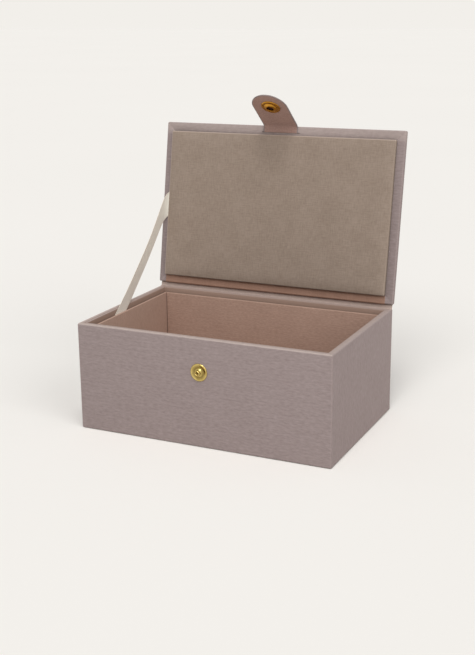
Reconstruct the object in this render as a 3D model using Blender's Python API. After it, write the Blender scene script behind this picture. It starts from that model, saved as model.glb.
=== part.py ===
"""Velvet-wrapped card box with a fabric-hinged lid, a press-stud strap and a ribbon stay.

Metres, +Z up. The origin is the middle of the underside; the front faces -Y.
The lid is modelled shut and then opened about its hinge line, and the strap is
modelled flat with the lid and then bent about the lid's free edge.
"""

import math

import bmesh
import bpy
from mathutils import Matrix, Vector

# Box
box_width = 0.1800
box_depth = 0.1170
box_height = 0.0735
wall_board = 0.0028
base_board = 0.0030
velvet = 0.0005
clearance = 0.0003
corner_radius = 0.0010
rim_round = 0.0008
turn_in = 0.0150
turn_under = 0.0060
foot_cover = 0.0008

# Lining
liner_thickness = 0.0015
liner_drop = 0.0038
liner_pocket = 0.0008
floor_panel_thickness = 0.0020

# Lid
lid_side_overhang = 0.0009
lid_front_overhang = 0.0005
lid_board_thickness = 0.0025
lid_turn_in = 0.0150
lid_gap = 0.0006
lid_open_angle = 99.8
hinge_back = -0.0003
hinge_rise = 0.0034

# Padded panel in the lid
pad_fit = 0.0003
pad_back_fit = 0.0010
pad_front_border = 0.0064
pad_board_thickness = 0.0010
pad_foam_thickness = 0.0008
pad_cover_thickness = 0.0005
pad_round = 0.0008
pad_crown = 0.0006
pad_shoulder = 0.0080

# Strap
tab_width = 0.0254
tab_length = 0.0370
tab_lean = 65.3
tab_lining_thickness = 0.0004
tab_core_thickness = 0.0005
tab_lining_inset = 0.0014
tab_axis_out = 0.0025
anchor_thickness = 0.0006
anchor_reach = 0.0190

# Press stud
socket_reach = 0.0233
socket_radius = 0.0073
socket_bore = 0.0024
socket_barrel = 0.0036
socket_rise = 0.0013
spring_wire = 0.00025
cap_radius = 0.0070
cap_rise = 0.0009
cap_shank = 0.0022
stud_radius = 0.0059
stud_flange = 0.0006
stud_post = 0.0019
stud_neck = 0.0016
stud_length = 0.0025
stud_dimple = 0.0006
stud_run = 0.0009
rivet_shank = 0.0015
rivet_head_radius = 0.0040
rivet_head = 0.0009

# Ribbon stay
ribbon_width = 0.0100
ribbon_thickness = 0.00025
ribbon_lid_reach = 0.0540
ribbon_box_reach = -0.0108
ribbon_tail = 0.0140
ribbon_fold_in = 0.0012
ribbon_fold_radius = 0.0012

# Fabric hinge strips
hinge_cloth_thickness = 0.0005
hinge_cloth_bulge = 0.0013
hinge_lining_thickness = 0.00025
hinge_lining_turn = 0.0024

# Facets
corner_steps = 3
tip_steps = 20
turned_steps = 28
spring_steps = 24
spring_sides = 6
fold_steps = 6

wall_total = velvet + clearance + wall_board + clearance + velvet
lid_total = velvet + clearance + lid_board_thickness + clearance + velvet
board_inset = velvet + clearance
half_width = box_width / 2
half_depth = box_depth / 2
lid_width = box_width + 2 * lid_side_overhang
lid_length = box_depth + lid_front_overhang
wrap_bottom = foot_cover - velvet
board_bottom = foot_cover + clearance
floor_bottom = board_bottom + base_board + clearance
liner_top = box_height - liner_drop
liner_inset = wall_total + liner_pocket

lid_inner = box_height + lid_gap
lid_top = lid_inner + lid_total
lid_back = half_depth
lid_front = lid_back - lid_length
pad_half_width = half_width - wall_total - pad_fit
pad_back = half_depth - wall_total - pad_back_fit
pad_front = lid_front + pad_front_border
pad_stack = pad_board_thickness + clearance + pad_foam_thickness + clearance
pad_top = lid_inner - clearance
pad_bottom = pad_top - pad_stack - pad_cover_thickness

tab_stack = tab_lining_thickness + clearance + tab_core_thickness + clearance + velvet
tab_inner = -tab_stack / 2
tab_outer = tab_stack / 2
tab_axis_y = lid_front - tab_axis_out
tab_axis_z = lid_inner + anchor_thickness / 2
tab_root = anchor_thickness / 2 + clearance
socket_mouth = tab_inner - socket_rise

# Snapped shut, the socket's mouth stands off the stud's flange and the strap leans out by this angle.
flange_front = clearance + stud_flange
snap_height = flange_front + stud_run - socket_mouth
root_height = -half_depth - tab_axis_y
snap_lean = math.asin((snap_height - root_height) / socket_reach)
post_middle = flange_front + stud_length * 0.6
stud_z = (tab_axis_z - socket_reach * math.cos(snap_lean)
          - (snap_height - post_middle) * math.sin(snap_lean))
snap_turn = 90.0 - math.degrees(snap_lean) - tab_lean


def linear(red, green, blue):
    """Screen colour 0-255 as a linear colour."""
    def channel(value):
        share = value / 255
        return share / 12.92 if share <= 0.04045 else ((share + 0.055) / 1.055) ** 2.4
    return (channel(red), channel(green), channel(blue), 1.0)


def material(name, colour, roughness, metallic=0.0):
    made = bpy.data.materials.new(name)
    made.use_nodes = True
    shader = made.node_tree.nodes["Principled BSDF"]
    shader.inputs["Base Color"].default_value = linear(*colour)
    shader.inputs["Roughness"].default_value = roughness
    shader.inputs["Metallic"].default_value = metallic
    made.diffuse_color = linear(*colour)
    return made


def piece(name, bm, finish, parent=None, location=(0, 0, 0), turn=(0, 0, 0), smooth=False):
    """Turn a bmesh into a named object with its own finish."""
    bmesh.ops.recalc_face_normals(bm, faces=bm.faces)
    mesh = bpy.data.meshes.new(name)
    bm.to_mesh(mesh)
    bm.free()
    if smooth:
        mesh.shade_smooth()
        mesh.set_sharp_from_angle(angle=math.radians(35))
    made = bpy.data.objects.new(name, mesh)
    made.location = location
    made.rotation_euler = turn
    made.parent = parent
    if finish is not None:
        mesh.materials.append(finish)
    bpy.context.scene.collection.objects.link(made)
    return made


def axis_empty(name, location, turn, parent=None):
    made = bpy.data.objects.new(name, None)
    made.empty_display_size = 0.01
    made.location = location
    made.rotation_euler = turn
    made.parent = parent
    bpy.context.scene.collection.objects.link(made)
    return made


def block(low, high):
    """A box between two corners, centred on its own middle, and that middle."""
    low = Vector(low)
    high = Vector(high)
    bm = bmesh.new()
    bmesh.ops.create_cube(bm, size=1.0)
    bmesh.ops.scale(bm, vec=high - low, verts=bm.verts)
    return bm, (low + high) / 2


def panel(name, low, high, finish, parent=None, origin=(0, 0, 0)):
    bm, middle = block(low, high)
    return piece(name, bm, finish, parent, middle - Vector(origin))


def loft(loops, joined=False):
    """Skin a list of equal loops; capped at both ends, or joined end to end."""
    bm = bmesh.new()
    rows = [[bm.verts.new(point) for point in loop] for loop in loops]
    count = len(rows[0])
    pairs = list(zip(rows, rows[1:]))
    if joined:
        pairs.append((rows[-1], rows[0]))
    for lower, upper in pairs:
        for i in range(count):
            j = (i + 1) % count
            bm.faces.new((lower[i], lower[j], upper[j], upper[i]))
    if not joined:
        bm.faces.new(rows[0])
        bm.faces.new(rows[-1])
    return bm


def rectangle_loop(half_x, front, back, radius, z):
    """A level rectangle with rounded corners."""
    corners = [
        (half_x - radius, front + radius, -90),
        (half_x - radius, back - radius, 0),
        (-half_x + radius, back - radius, 90),
        (-half_x + radius, front + radius, 180),
    ]
    points = []
    for x, y, start in corners:
        for step in range(corner_steps + 1):
            angle = math.radians(start + 90 * step / corner_steps)
            points.append((x + radius * math.cos(angle), y + radius * math.sin(angle), z))
    return points


def inset_loops(section, half_x, front, back, radius):
    """Rectangle loops for a section given as (inset, height) pairs."""
    loops = []
    for inset, z in section:
        corner = max(radius - inset, radius * 0.2)
        loops.append(rectangle_loop(half_x - inset, front + inset, back - inset, corner, z))
    return loops


def quarter(inset, z, radius, start, steps=2):
    """Section points on a quarter round about (inset, z), from the start angle on."""
    points = []
    for step in range(steps + 1):
        angle = math.radians(start + 90 * step / steps)
        points.append((inset - radius * math.cos(angle), z + radius * math.sin(angle)))
    return points


def turned(profile, steps=turned_steps):
    """Spin a closed (radius, height) outline about Z; points at radius 0 close on the axis."""
    bm = bmesh.new()
    outline = [bm.verts.new((radius, 0, height)) for radius, height in profile]
    edges = [bm.edges.new(pair) for pair in zip(outline, outline[1:])]
    if profile[0][0] > 0:
        edges.append(bm.edges.new((outline[-1], outline[0])))
    bmesh.ops.spin(bm, geom=outline + edges, cent=(0, 0, 0), axis=(0, 0, 1),
                   angle=2 * math.pi, steps=steps, use_merge=True)
    bmesh.ops.remove_doubles(bm, verts=bm.verts, dist=1e-7)
    return bm


def cylinder(radius, low, high, steps=turned_steps):
    return turned([(0, low), (radius, low), (radius, high), (0, high)], steps)


def cut(target, name, bm, parent=None, location=(0, 0, 0), turn=(0, 0, 0)):
    """Take a shape out of a piece with an exact Boolean."""
    cutter = piece(name, bm, None, parent, location, turn)
    cutter.hide_render = True
    cutter.display_type = "WIRE"
    modifier = target.modifiers.new(name, "BOOLEAN")
    modifier.operation = "DIFFERENCE"
    modifier.solver = "EXACT"
    modifier.object = cutter


def clear_scene():
    for item in list(bpy.data.objects):
        bpy.data.objects.remove(item, do_unlink=True)


def make_boards(card):
    x_out = half_width - board_inset
    y_out = half_depth - board_inset
    x_in = x_out - wall_board
    y_in = y_out - wall_board
    top = box_height - board_inset
    front = panel("front_board", (-x_out, -y_out, board_bottom), (x_out, -y_in, top), card())
    cut(front, "rivet_hole", cylinder(rivet_shank + clearance, -wall_board, wall_board),
        location=(0, -y_out + wall_board / 2, stud_z), turn=(math.radians(90), 0, 0))
    panel("back_board", (-x_out, y_in, board_bottom), (x_out, y_out, top), card())
    side = y_in - clearance
    panel("left_board", (-x_out, -side, board_bottom), (-x_in, side, top), card())
    panel("right_board", (x_in, -side, board_bottom), (x_out, side, top), card())
    panel("bottom_board", (-x_in + clearance, -side, board_bottom),
          (x_in - clearance, side, board_bottom + base_board), card())


def make_base_wrap(finish):
    """One sheet of velvet: under the bottom edge, up the outside, over the rim and down inside."""
    low = wrap_bottom
    high = box_height
    fold = rim_round / 2
    section = [(turn_under, low), (fold, low)]
    section += quarter(fold, low + fold, fold, -90)[1:]
    section += quarter(rim_round, high - rim_round, rim_round, 0)
    section += [(wall_total - rim_round + x, z) for x, z in
                ((rim_round * math.sin(math.radians(a)),
                  high - rim_round + rim_round * math.cos(math.radians(a))) for a in (0, 45, 90))]
    section += [
        (wall_total, high - turn_in),
        (wall_total - velvet, high - turn_in),
        (wall_total - velvet, high - velvet),
        (velvet, high - velvet),
        (velvet, low + velvet),
        (turn_under, low + velvet),
    ]
    loops = inset_loops(section, half_width, -half_depth, half_depth, corner_radius)
    wrap = piece("base_wrap", loft(loops, joined=True), finish)
    cut(wrap, "wrap_hole", cylinder(rivet_shank + clearance, -velvet * 2, velvet * 2),
        location=(0, -half_depth, stud_z), turn=(math.radians(90), 0, 0))


def make_bottom_cover(finish):
    inset = turn_under + clearance
    panel("bottom_cover", (-half_width + inset, -half_depth + inset, 0),
          (half_width - inset, half_depth - inset, foot_cover), finish)


def make_liners(suede):
    x_out = half_width - liner_inset
    y_out = half_depth - liner_inset
    x_in = x_out - liner_thickness
    y_in = y_out - liner_thickness
    low = floor_bottom
    panel("liner_left", (-x_out, -y_out, low), (-x_in, y_out, liner_top), suede())
    panel("liner_right", (x_in, -y_out, low), (x_out, y_out, liner_top), suede())
    side = x_in - clearance
    panel("liner_front", (-side, -y_out, low), (side, -y_in, liner_top), suede())
    panel("liner_back", (-side, y_in, low), (side, y_out, liner_top), suede())
    end = y_in - clearance
    panel("floor_panel", (-side, -end, low), (side, end, low + floor_panel_thickness), suede())


def make_stud(brass, steel):
    """The stud stands on the front wall and its shank is spread behind the board."""
    post_top = flange_front + stud_length
    profile = [
        (0, clearance),
        (stud_radius, clearance),
        (stud_radius, clearance + stud_flange * 0.5),
        (stud_radius * 0.90, flange_front),
        (stud_radius * 0.74, flange_front - stud_flange * 0.3),
        (stud_radius * 0.62, flange_front),
        (stud_radius * 0.45, flange_front + stud_flange * 0.2),
        (stud_neck, flange_front + stud_length * 0.25),
        (stud_neck, flange_front + stud_length * 0.45),
        (stud_post, flange_front + stud_length * 0.70),
        (stud_post * 0.85, flange_front + stud_length * 0.92),
        (stud_dimple * 1.6, post_top),
        (stud_dimple, post_top - stud_dimple * 0.4),
        (stud_dimple * 0.7, post_top - stud_dimple * 1.6),
        (0, post_top - stud_dimple * 1.6),
    ]
    face_out = (math.radians(90), 0, 0)
    place = (0, -half_depth, stud_z)
    piece("snap_stud", turned(profile), brass, None, place, face_out, smooth=True)
    head_front = -(board_inset + wall_board + clearance)
    head_back = head_front - rivet_head
    rivet = [
        (0, head_back),
        (rivet_head_radius * 0.9, head_back),
        (rivet_head_radius, head_back + rivet_head * 0.4),
        (rivet_head_radius * 0.9, head_front),
        (rivet_shank, head_front),
        (rivet_shank, 0),
        (0, 0),
    ]
    piece("stud_rivet", turned(rivet), steel, None, place, face_out, smooth=True)


def make_lid_axis():
    place = (0, half_depth + hinge_back, box_height + hinge_rise)
    return axis_empty("lid_axis", place, (-math.radians(lid_open_angle), 0, 0))


def shut(lid_axis, name, loops, finish):
    """A lofted piece given where it lies with the lid shut, carried by the lid's axis."""
    origin = Vector(lid_axis.location)
    moved = [[Vector(point) - origin for point in loop] for loop in loops]
    return piece(name, loft(moved), finish, lid_axis)


def make_lid(lid_axis, card, velvet_finish, pad_finish, foam_finish):
    origin = lid_axis.location
    half_lid = lid_width / 2
    fold = rim_round
    section = [
        (velvet, lid_top - velvet),
        (velvet, lid_inner + velvet),
        (lid_turn_in, lid_inner + velvet),
        (lid_turn_in, lid_inner),
        (fold, lid_inner),
    ]
    section += quarter(fold, lid_inner + fold, fold, -90)[1:]
    section += quarter(fold, lid_top - fold, fold, 0)
    loops = inset_loops(section, half_lid, lid_front, lid_back, corner_radius)
    wrap = shut(lid_axis, "lid_wrap", loops, velvet_finish)
    slot_half = tab_width / 2 + clearance
    slot, middle = block(
        (-slot_half, lid_front - clearance, lid_inner - clearance),
        (slot_half, lid_front + lid_turn_in + clearance, lid_inner + board_inset + clearance / 2))
    cut(wrap, "anchor_slot", slot, lid_axis, middle - Vector(origin))
    panel("lid_board",
          (-half_lid + board_inset, lid_front + board_inset, lid_inner + board_inset),
          (half_lid - board_inset, lid_back - board_inset, lid_top - board_inset),
          card(), lid_axis, origin)
    make_pad(lid_axis, card, pad_finish, foam_finish)


def make_pad(lid_axis, card, pad_finish, foam_finish):
    """The panel that drops inside the rim: cover drawn round a foam sheet and a card."""
    origin = lid_axis.location
    wall = pad_cover_thickness
    section = [(wall, pad_bottom + wall), (wall, pad_top), (0, pad_top)]
    section += [(pad_round - x, z) for x, z in
                ((pad_round * math.cos(math.radians(a)),
                  pad_bottom + pad_round - pad_round * math.sin(math.radians(a)))
                 for a in (0, 45, 90))]
    section += [(pad_shoulder / 2, pad_bottom - pad_crown * 0.7),
                (pad_shoulder, pad_bottom - pad_crown)]
    loops = inset_loops(section, pad_half_width, pad_front, pad_back, corner_radius)
    shut(lid_axis, "pad_cover", loops, pad_finish)
    inset = wall + clearance
    foam_low = pad_bottom + wall + clearance
    foam_high = foam_low + pad_foam_thickness
    low = (-pad_half_width + inset, pad_front + inset)
    high = (pad_half_width - inset, pad_back - inset)
    panel("pad_foam", (*low, foam_low), (*high, foam_high), foam_finish, lid_axis, origin)
    card_low = foam_high + clearance
    panel("pad_board", (*low, card_low), (*high, card_low + pad_board_thickness - clearance),
          card(), lid_axis, origin)


def make_anchor(lid_axis, finish):
    """The strap's root: from under the pad, through the slot, to a round edge on the strap's axis."""
    half = anchor_thickness / 2
    side = [(lid_front + anchor_reach, tab_axis_z + half)]
    for step in range(fold_steps + 1):
        angle = math.radians(90 + 180 * step / fold_steps)
        side.append((tab_axis_y + half * math.cos(angle), tab_axis_z + half * math.sin(angle)))
    side.append((lid_front + anchor_reach, tab_axis_z - half))
    loops = [[(x, y, z) for y, z in side] for x in (-tab_width / 2, tab_width / 2)]
    shut(lid_axis, "tab_anchor", loops, finish)


def strap_loop(inset, z):
    """The strap's outline lying flat: square root at the axis, half-round tip towards -Y."""
    half = tab_width / 2 - inset
    root = -tab_root - inset
    tip = -(tab_length - tab_width / 2)
    points = [(half, root, z)]
    for step in range(tip_steps + 1):
        angle = math.pi * step / tip_steps
        points.append((half * math.cos(angle), tip - half * math.sin(angle), z))
    points.append((-half, root, z))
    return points


def make_strap(tab_axis, velvet_finish, lining_finish, card_finish):
    hole = socket_barrel + clearance
    lining_top = tab_inner + tab_lining_thickness
    core_low = lining_top + clearance
    core_high = core_low + tab_core_thickness
    lip = tab_lining_inset - clearance
    cover = [
        strap_loop(velvet, tab_outer - velvet),
        strap_loop(velvet, lining_top),
        strap_loop(lip, lining_top),
        strap_loop(lip, tab_inner),
        strap_loop(0, tab_inner),
        strap_loop(0, tab_outer),
    ]
    core = [strap_loop(board_inset, core_low), strap_loop(board_inset, core_high)]
    lining = [strap_loop(tab_lining_inset, tab_inner), strap_loop(tab_lining_inset, lining_top)]
    parts = (("tab_cover", cover, velvet_finish), ("tab_core", core, card_finish),
             ("tab_lining", lining, lining_finish))
    for name, loops, finish in parts:
        made = piece(name, loft(loops), finish, tab_axis)
        cut(made, name + "_hole", cylinder(hole, -tab_stack, tab_stack), tab_axis,
            (0, -socket_reach, 0))


def make_snap(tab_axis, brass, steel):
    """Socket on the strap's inner side, its ring spring, and the cap riveted from outside."""
    place = (0, -socket_reach, 0)
    seat = tab_inner - clearance
    ring_radius = socket_bore + spring_wire * 0.4
    groove = ring_radius + spring_wire + clearance / 3
    groove_low = tab_inner - clearance - spring_wire
    groove_high = groove_low + 4 * spring_wire
    socket = [
        (socket_bore, socket_mouth + socket_rise * 0.20),
        (socket_bore * 1.25, socket_mouth),
        (socket_bore * 1.60, socket_mouth + socket_rise * 0.20),
        (socket_radius * 0.72, socket_mouth + socket_rise * 0.36),
        (socket_radius * 0.84, socket_mouth + socket_rise * 0.10),
        (socket_radius * 0.95, socket_mouth + socket_rise * 0.15),
        (socket_radius, socket_mouth + socket_rise * 0.45),
        (socket_radius * 0.97, seat),
        (socket_barrel, seat),
        (socket_barrel, tab_outer),
        (socket_bore, tab_outer),
        (socket_bore, groove_high),
        (groove, groove_high),
        (groove, groove_low),
        (socket_bore, groove_low),
    ]
    piece("snap_socket", turned(socket), brass, tab_axis, place, smooth=True)
    make_spring(tab_axis, steel, (groove_low + groove_high) / 2, ring_radius)
    cap_low = tab_outer + clearance
    cap = [
        (0, tab_outer - velvet),
        (cap_shank, tab_outer - velvet),
        (cap_shank, cap_low),
        (cap_radius * 0.97, cap_low),
        (cap_radius, cap_low + cap_rise * 0.35),
        (cap_radius * 0.90, cap_low + cap_rise * 0.65),
        (cap_radius * 0.55, cap_low + cap_rise * 0.92),
        (0, cap_low + cap_rise),
    ]
    piece("snap_cap", turned(cap), brass, tab_axis, place, smooth=True)


def make_spring(tab_axis, steel, height, ring_radius):
    """A closed ring of round wire in the socket's groove."""
    wire = []
    for side in range(spring_sides):
        angle = 2 * math.pi * side / spring_sides
        wire.append((ring_radius + spring_wire * math.cos(angle),
                     height + spring_wire * math.sin(angle)))
    piece("snap_spring", turned(wire, spring_steps), steel, tab_axis, (0, -socket_reach, 0),
          smooth=True)


def lid_frame():
    """The open lid's lower inner edge, the way up the lid, and the way out of its inner face."""
    pivot = Vector((0, half_depth + hinge_back, box_height + hinge_rise))
    turn = Matrix.Rotation(-math.radians(lid_open_angle), 4, "X")
    edge = pivot + turn @ (Vector((0, lid_back, lid_inner)) - pivot)
    return edge, turn @ Vector((0, -1, 0)), turn @ Vector((0, 0, -1))


def ribbon_route():
    """Where the ribbon's middle surface runs across the lid: (side place, height off the lid).

    It leaves the pad's edge flat on the border, folds over and goes straight down to the pocket
    behind the left liner. Each stop also has the way its face looks, as an angle from the lid's.
    """
    start_x = -(pad_half_width + clearance)
    fold_x = -(lid_width / 2 - ribbon_fold_in)
    pocket_x = -(half_width - wall_total - liner_pocket / 2)
    edge, up, out = lid_frame()
    target = Vector((pocket_x, ribbon_box_reach, liner_top)) - edge
    low_height = clearance + ribbon_thickness / 2
    rim_height = target.dot(out) * 0.80
    lean = math.atan((pocket_x - fold_x) / rim_height)
    turn = math.pi / 2 + lean
    flat_x = fold_x + ribbon_fold_radius
    stops = [(start_x, low_height, 0.0)]
    for step in range(fold_steps + 1):
        angle = turn * step / fold_steps
        stops.append((flat_x - ribbon_fold_radius * math.sin(angle),
                      low_height + ribbon_fold_radius * (1 - math.cos(angle)), angle))
    stops.append((pocket_x, rim_height, turn))
    stops.append((pocket_x, target.dot(out), math.pi / 2))
    stops.append((pocket_x, target.dot(out) + ribbon_tail, math.pi / 2))
    return stops, target.dot(up)


def make_ribbon(satin):
    """A flat ribbon folded once over the lid's edge: every section lies along the fold."""
    stops, box_up = ribbon_route()
    edge, up, out = lid_frame()
    lengths = [0.0]
    for before, after in zip(stops, stops[1:]):
        lengths.append(lengths[-1] + math.dist(before[:2], after[:2]))
    slope = (box_up - ribbon_lid_reach) / lengths[-2]
    half_section = ribbon_width / 2 * math.hypot(1, slope)
    loops = []
    for (x, height, angle), length in zip(stops, lengths):
        middle = edge + Vector((x, 0, 0)) + out * height + up * (ribbon_lid_reach + slope * length)
        face = (Vector((-1, 0, 0)) * -math.sin(angle) + out * math.cos(angle)) * ribbon_thickness / 2
        loops.append([middle - up * half_section - face, middle + up * half_section - face,
                      middle + up * half_section + face, middle - up * half_section + face])
    piece("ribbon_stay", loft(loops), satin)


def strip(path, thickness, half_x):
    """Loops for cloth of even thickness along a (y, z) path, running across the box."""
    normals = []
    for i in range(len(path)):
        before = Vector(path[max(i - 1, 0)])
        after = Vector(path[min(i + 1, len(path) - 1)])
        along = (after - before).normalized()
        normals.append(Vector((-along.y, along.x)) * thickness / 2)
    left = [Vector(point) + normal for point, normal in zip(path, normals)]
    right = [Vector(point) - normal for point, normal in zip(path, normals)]
    outline = left + right[::-1]
    return [[(x, point.x, point.y) for point in outline] for x in (-half_x, half_x)]


def make_hinge_lining(lid_axis, finish):
    """Thin cloth from the pad's back edge, over the lid's border and round its back edge."""
    off = clearance + hinge_lining_thickness / 2
    bend = rim_round + off
    path = [(pad_back + clearance, lid_inner - off)]
    for step in range(fold_steps + 1):
        angle = math.radians(-90 + 90 * step / fold_steps)
        path.append((lid_back - rim_round + bend * math.cos(angle),
                     lid_inner + rim_round + bend * math.sin(angle)))
    path.append((lid_back + off, lid_inner + hinge_lining_turn))
    shut(lid_axis, "hinge_lining", strip(path, hinge_lining_thickness, pad_half_width), finish)


def make_hinge_cloth(finish):
    """The outer cloth's slack between the back wall and the open lid, bowed out behind."""
    edge, up, out = lid_frame()
    off = clearance + hinge_cloth_thickness / 2
    foot = Vector((half_depth - off, box_height + clearance))
    corner = edge - out * (lid_total - rim_round) + up * rim_round
    head = corner - out * (rim_round + off) * 0.5 - up * (rim_round + off) * 0.87
    head = Vector((head.y, head.z))
    across = head - foot
    bow = Vector((across.y, -across.x)).normalized() * hinge_cloth_bulge
    path = []
    for step in range(fold_steps + 1):
        share = step / fold_steps
        path.append(foot + across * share + bow * math.sin(math.pi * share))
    loops = strip(path, hinge_cloth_thickness, half_width - corner_radius)
    piece("hinge_cloth", loft(loops), finish)


def main():
    clear_scene()
    def card():
        return material("greyboard", (150, 140, 128), 0.9)
    def suede():
        return material("lining_suede", (142, 116, 102), 0.9)
    make_boards(card)
    make_base_wrap(material("velvet_base", (151, 136, 133), 0.85))
    make_bottom_cover(material("underside_cover", (120, 104, 100), 0.9))
    make_liners(suede)
    make_stud(material("brass_stud", (190, 160, 70), 0.3, 1.0),
              material("steel_rivet", (160, 155, 148), 0.35, 1.0))
    lid_axis = make_lid_axis()
    make_lid(lid_axis, card, material("velvet_lid", (151, 136, 133), 0.85),
             material("pad_fabric", (146, 130, 118), 0.9), material("foam", (225, 215, 190), 0.95))
    make_anchor(lid_axis, material("velvet_anchor", (127, 104, 98), 0.85))
    tab_axis = axis_empty("tab_axis", Vector((0, tab_axis_y, tab_axis_z)) - lid_axis.location,
                          (math.radians(tab_lean), 0, 0), lid_axis)
    make_strap(tab_axis, material("velvet_strap", (148, 132, 130), 0.85),
               material("strap_lining", (127, 104, 98), 0.85), card())
    make_snap(tab_axis, material("brass_socket", (165, 120, 55), 0.35, 1.0),
              material("steel_spring", (165, 160, 150), 0.3, 1.0))
    make_ribbon(material("satin_ribbon", (206, 201, 194), 0.45))
    make_hinge_lining(lid_axis, material("hinge_lining_cloth", (120, 97, 84), 0.9))
    make_hinge_cloth(material("velvet_hinge", (145, 130, 127), 0.85))
    print("snap turn from rest, degrees:", round(snap_turn, 3))
    print("stud height:", round(stud_z, 5))


main()
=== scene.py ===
import math

import bmesh
import bpy
from mathutils import Matrix, Vector, noise
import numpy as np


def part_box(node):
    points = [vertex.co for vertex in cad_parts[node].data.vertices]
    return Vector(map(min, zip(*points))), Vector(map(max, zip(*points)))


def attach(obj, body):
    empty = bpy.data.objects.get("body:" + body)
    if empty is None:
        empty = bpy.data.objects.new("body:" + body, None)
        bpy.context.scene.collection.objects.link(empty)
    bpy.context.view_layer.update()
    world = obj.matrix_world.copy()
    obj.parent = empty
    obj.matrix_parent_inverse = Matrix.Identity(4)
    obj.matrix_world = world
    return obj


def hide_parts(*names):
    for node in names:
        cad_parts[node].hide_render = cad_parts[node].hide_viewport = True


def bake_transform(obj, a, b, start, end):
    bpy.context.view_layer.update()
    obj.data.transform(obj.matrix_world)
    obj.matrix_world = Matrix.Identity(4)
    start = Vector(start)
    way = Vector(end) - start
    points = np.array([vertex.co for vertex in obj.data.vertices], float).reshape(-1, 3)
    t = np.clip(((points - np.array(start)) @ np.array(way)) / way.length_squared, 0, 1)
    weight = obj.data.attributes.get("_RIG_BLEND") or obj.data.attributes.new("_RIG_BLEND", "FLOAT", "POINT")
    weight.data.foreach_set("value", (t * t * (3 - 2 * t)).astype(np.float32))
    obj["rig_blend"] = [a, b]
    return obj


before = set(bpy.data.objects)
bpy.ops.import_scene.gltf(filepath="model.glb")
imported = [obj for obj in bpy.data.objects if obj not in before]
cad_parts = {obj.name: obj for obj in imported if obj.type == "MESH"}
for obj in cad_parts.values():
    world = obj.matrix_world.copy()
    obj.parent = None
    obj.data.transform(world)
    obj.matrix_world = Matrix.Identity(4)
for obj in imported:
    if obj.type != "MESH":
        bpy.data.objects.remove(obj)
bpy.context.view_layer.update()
print("frame loaded")


# Colours are written as they look on screen, 0 to 255
def tint(colour):
    shares = [value / 255 for value in colour]
    return (*(share / 12.92 if share <= 0.04045 else ((share + 0.055) / 1.055) ** 2.4
              for share in shares), 1.0)


# Camera and light

cameraValues = {
    "azimuth": 25.3162, "elevation": 15.9582, "roll": -0.5867,
    "target": (-0.000298, 0.0, 0.065309), "distance": 0.76226,
    "lens": 61.95, "clip": (0.01, 20),
}

lightValues = {
    "skyStrength": 0.341,
    "background": (242, 239, 234),
    "lampDistance": 1.5,
    "lamps": {  # strength, softness, side and height in degrees
        "softKey": (1.00, 30, 8, 42),
        "topSoft": (1.00, 22, 25, 68),
        "sideFill": (0.72, 36, 66, 30),
    },
}


def outward(azimuth, elevation):
    # direction from the box to something this far round from its front and this high
    return Vector((math.sin(azimuth) * math.cos(elevation),
                   -math.cos(azimuth) * math.cos(elevation), math.sin(elevation)))


def addObject(name, data):
    made = bpy.data.objects.new(name, data)
    bpy.context.scene.collection.objects.link(made)
    return made


def makeCamera():
    values = cameraValues
    data = bpy.data.cameras.new("photoCamera")
    data.lens = values["lens"]
    data.clip_start, data.clip_end = values["clip"]
    made = addObject("photoCamera", data)
    azimuth, elevation = math.radians(values["azimuth"]), math.radians(values["elevation"])
    back = outward(azimuth, elevation) * values["distance"]
    turn = (Matrix.Rotation(azimuth, 4, "Z") @ Matrix.Rotation(math.pi / 2 - elevation, 4, "X")
            @ Matrix.Rotation(math.radians(values["roll"]), 4, "Z"))
    made.matrix_world = Matrix.Translation(Vector(values["target"]) + back) @ turn
    bpy.context.scene.camera = made


def makeLight():
    values = lightValues
    scene = bpy.context.scene
    scene.view_settings.view_transform = "Standard"
    scene.world = bpy.data.worlds.new("studio")
    scene.world.use_nodes = True
    tree = scene.world.node_tree
    tree.nodes.clear()
    out = tree.nodes.new("ShaderNodeOutputWorld")
    mix = tree.nodes.new("ShaderNodeMixShader")
    path = tree.nodes.new("ShaderNodeLightPath")
    # the eye, metal and glass see the background, and the sky only lights
    seen = mathNode(tree, "MAXIMUM", path.outputs["Is Camera Ray"], path.outputs["Is Glossy Ray"])
    seen = mathNode(tree, "MAXIMUM", seen, path.outputs["Is Transmission Ray"])
    tree.links.new(seen, mix.inputs[0])
    for slotNumber, colour, strength in ((1, (255, 255, 255), values["skyStrength"]),
                                         (2, values["background"], 1.0)):
        shade = tree.nodes.new("ShaderNodeBackground")
        setInputs(shade, {"Color": tint(colour), "Strength": strength})
        tree.links.new(shade.outputs[0], mix.inputs[slotNumber])
    tree.links.new(mix.outputs[0], out.inputs["Surface"])

    for name, (strength, softness, side, height) in values["lamps"].items():
        data = bpy.data.lights.new(name, "SUN")
        data.energy = strength
        data.angle = math.radians(softness)
        lamp = addObject(name, data)
        towards = outward(math.radians(side), math.radians(height))
        lamp.location = towards * values["lampDistance"]
        lamp.rotation_mode = "QUATERNION"
        lamp.rotation_quaternion = towards.to_track_quat("Z", "Y")


floorValues = {
    "size": 12.0, "roughness": 0.95, "cloud": 1.5,
    "dark": (246, 243, 238), "light": (248, 245, 240),
}


def makeFloor():
    values = floorValues
    tree, shader = startMaterial("paleFloor", values)
    shader.inputs["Specular IOR Level"].default_value = 0.0
    cloud = noiseNode(tree, objectPlace(tree), values["cloud"])
    tree.links.new(blendTones(tree, cloud, values["dark"], values["light"]),
                   shader.inputs["Base Color"])
    bm = bmesh.new()
    bmesh.ops.create_grid(bm, x_segments=2, y_segments=2, size=values["size"])
    makePiece("studioFloor", bm, "paleFloor")


# Node groups shared by the finishes

groups = {}


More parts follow.
